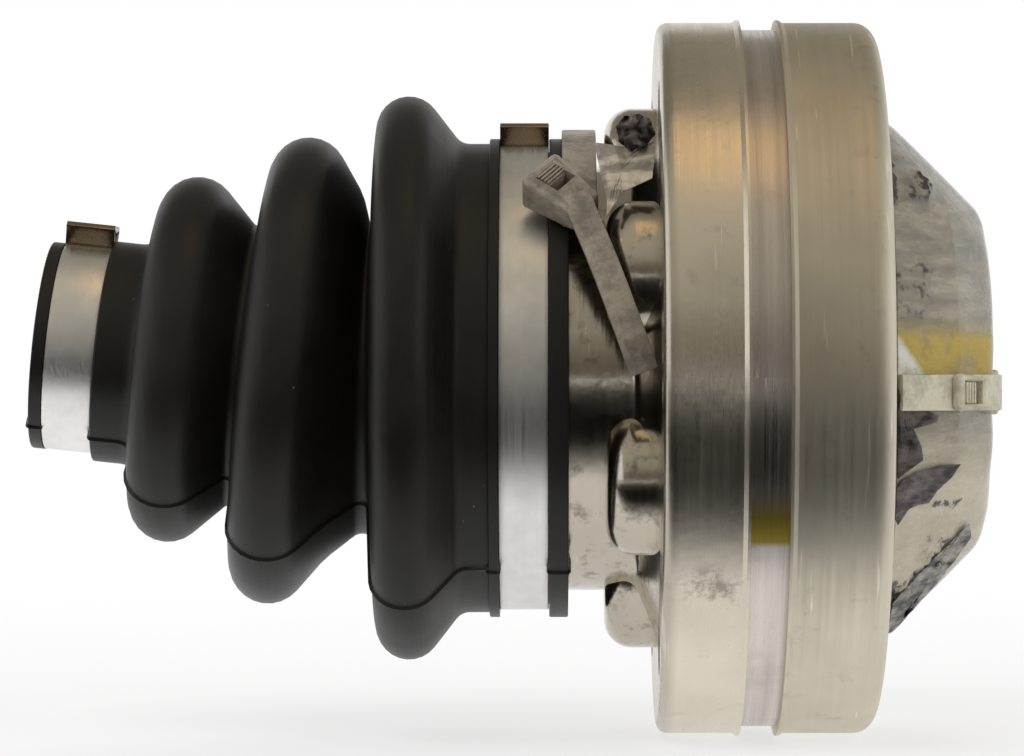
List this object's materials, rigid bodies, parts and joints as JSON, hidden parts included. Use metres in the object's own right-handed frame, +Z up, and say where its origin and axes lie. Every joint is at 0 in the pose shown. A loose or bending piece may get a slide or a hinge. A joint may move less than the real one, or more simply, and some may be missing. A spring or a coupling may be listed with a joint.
{
  "type": "drive shaft joint with boot",
  "caption": "Plunging ball joint of a drive shaft with pressed caps, rubber bellows boot and ear clamps; carries torque from a drive flange to a bending, sliding shaft.",
  "frame": {"origin": "centre of the six bolt holes on the end cap's mounting face, on the joint's axis", "axes": "+X along the joint's axis out of the mounting face, the boot reaches towards -X, +Z up as the part lies in the picture"},
  "size_m": [0.1387, 0.1028, 0.1028],
  "materials": {
    "race_steel": "ground, bare steel with fine turning lines and a light film of oil",
    "plated_sheet": "pressed sheet, zinc plated with a dull olive tint, handled and lightly scratched",
    "gasket_sheet": "pressed fibre sheet",
    "boot_rubber": "moulded rubber, satin, with a fine parting line and dust specks",
    "clamp_strip": "bright stainless strip",
    "tie_nylon": "natural nylon, slightly dirty",
    "strap_nylon": "natural nylon strap, yellowed",
    "cover_film": "clear film, crumpled",
    "ball_steel": "polished bearing steel",
    "cage_steel": "hardened and greased",
    "hub_steel": "hardened and ground"
  },
  "bodies": {
    "joint_body": {"outer_race": "race_steel", "cap_gasket": "gasket_sheet", "can_gasket": "gasket_sheet", "boot_can": "plated_sheet", "end_cap": "plated_sheet", "boot_large_end": "boot_rubber", "large_clamp": "clamp_strip", "tie_loop": "tie_nylon", "tie_head": "tie_nylon", "tie_tail": "tie_nylon", "tie_return": "tie_nylon", "dome_cover": "cover_film", "dome_strap": "strap_nylon"},
    "track_balls": {"ball_top": "ball_steel", "ball_bottom": "ball_steel"},
    "cage": {"ball_cage": "cage_steel"},
    "hub": {"inner_race": "hub_steel"},
    "boot_tip": {"boot_small_end": "boot_rubber", "small_clamp": "clamp_strip"},
    "ball_front_upper_body": {"ball_front_upper": "ball_steel"},
    "ball_rear_upper_body": {"ball_rear_upper": "ball_steel"},
    "ball_rear_lower_body": {"ball_rear_lower": "ball_steel"},
    "ball_front_lower_body": {"ball_front_lower": "ball_steel"}
  },
  "joints": [
    {"name": "plunge", "type": "slide", "parent": "joint_body", "child": "track_balls", "axis": [1, 0, 0], "range_m": [-0.004, 0.004]},
    {"name": "cage_bend", "type": "hinge", "parent": "track_balls", "child": "cage", "pos_m": [-0.01305, 0, 0], "axis": [0, 0, 1], "range_deg": [-7.5, 7.5]},
    {"name": "hub_bend", "type": "hinge", "parent": "cage", "child": "hub", "pos_m": [-0.01805, 0, 0], "axis": [0, 0, 1], "range_deg": [-7.5, 7.5]},
    {"name": "ball_front_upper_roll", "type": "slide", "parent": "track_balls", "child": "ball_front_upper_body", "axis": [1, 0, 0], "range_m": [-0.0033, 0.0033]},
    {"name": "ball_rear_upper_roll", "type": "slide", "parent": "track_balls", "child": "ball_rear_upper_body", "axis": [1, 0, 0], "range_m": [-0.0033, 0.0033]},
    {"name": "ball_rear_lower_roll", "type": "slide", "parent": "track_balls", "child": "ball_rear_lower_body", "axis": [1, 0, 0], "range_m": [-0.0033, 0.0033]},
    {"name": "ball_front_lower_roll", "type": "slide", "parent": "track_balls", "child": "ball_front_lower_body", "axis": [1, 0, 0], "range_m": [-0.0033, 0.0033]},
    {"name": "boot_bend", "type": "hinge", "parent": "joint_body", "child": "boot_tip", "pos_m": [-0.0736, 0, 0], "axis": [0, 1, 0], "range_deg": [-18, 6], "stiffness_Nm_per_rad": 1}
  ],
  "couplings": [
    {"joint": "hub_bend", "follows": "cage_bend", "ratio": 1},
    {"joint": "ball_front_upper_roll", "follows": "cage_bend", "m_per_rad": 0.024682},
    {"joint": "ball_rear_upper_roll", "follows": "cage_bend", "m_per_rad": -0.024682},
    {"joint": "ball_rear_lower_roll", "follows": "cage_bend", "m_per_rad": -0.024682},
    {"joint": "ball_front_lower_roll", "follows": "cage_bend", "m_per_rad": 0.024682}
  ]
}
